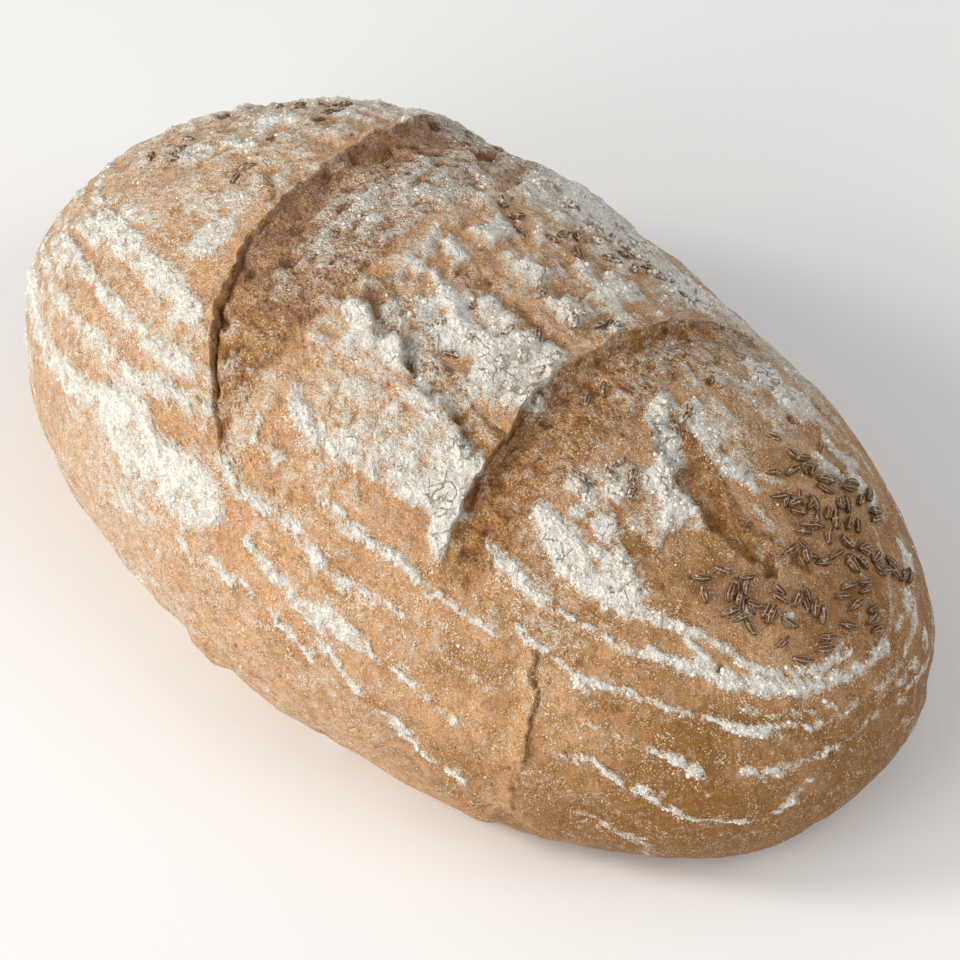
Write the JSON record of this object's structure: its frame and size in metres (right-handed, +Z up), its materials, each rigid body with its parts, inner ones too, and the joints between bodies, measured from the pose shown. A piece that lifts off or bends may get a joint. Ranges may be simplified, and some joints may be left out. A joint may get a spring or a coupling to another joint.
{
  "type": "sourdough loaf",
  "caption": "Oval seeded sourdough loaf with two opened cuts across its top, flour rings from a proving basket, and caraway seeds baked on to one end.",
  "frame": {"origin": "middle of the footprint, on the surface that the loaf rests on", "axes": "+X along the loaf towards its seeded end, +Y towards its back, +Z up"},
  "size_m": [0.288, 0.167, 0.1096],
  "materials": {
    "crust": "matte, floured",
    "caraway": "dry, ribbed"
  },
  "bodies": {
    "root": {"loaf": "crust", "caraway_seed_01": "caraway", "caraway_seed_02": "caraway", "caraway_seed_03": "caraway", "caraway_seed_04": "caraway", "caraway_seed_05": "caraway", "caraway_seed_06": "caraway", "caraway_seed_07": "caraway", "caraway_seed_08": "caraway", "caraway_seed_09": "caraway", "caraway_seed_10": "caraway", "caraway_seed_11": "caraway", "caraway_seed_12": "caraway", "caraway_seed_13": "caraway", "caraway_seed_14": "caraway", "caraway_seed_15": "caraway", "caraway_seed_16": "caraway", "caraway_seed_17": "caraway", "caraway_seed_18": "caraway", "caraway_seed_19": "caraway", "caraway_seed_20": "caraway", "caraway_seed_21": "caraway", "caraway_seed_22": "caraway", "caraway_seed_23": "caraway", "caraway_seed_24": "caraway", "caraway_seed_25": "caraway", "caraway_seed_26": "caraway", "caraway_seed_27": "caraway", "caraway_seed_28": "caraway", "caraway_seed_29": "caraway", "caraway_seed_30": "caraway", "caraway_seed_31": "caraway", "caraway_seed_32": "caraway", "caraway_seed_33": "caraway", "caraway_seed_34": "caraway", "caraway_seed_35": "caraway", "caraway_seed_36": "caraway", "caraway_seed_37": "caraway", "caraway_seed_38": "caraway", "caraway_seed_39": "caraway", "caraway_seed_40": "caraway", "caraway_seed_41": "caraway", "caraway_seed_42": "caraway", "caraway_seed_43": "caraway", "caraway_seed_44": "caraway", "caraway_seed_45": "caraway", "caraway_seed_46": "caraway", "caraway_seed_47": "caraway", "caraway_seed_48": "caraway", "caraway_seed_49": "caraway", "caraway_seed_50": "caraway", "caraway_seed_51": "caraway", "caraway_seed_52": "caraway", "caraway_seed_53": "caraway"}
  },
  "joints": []
}
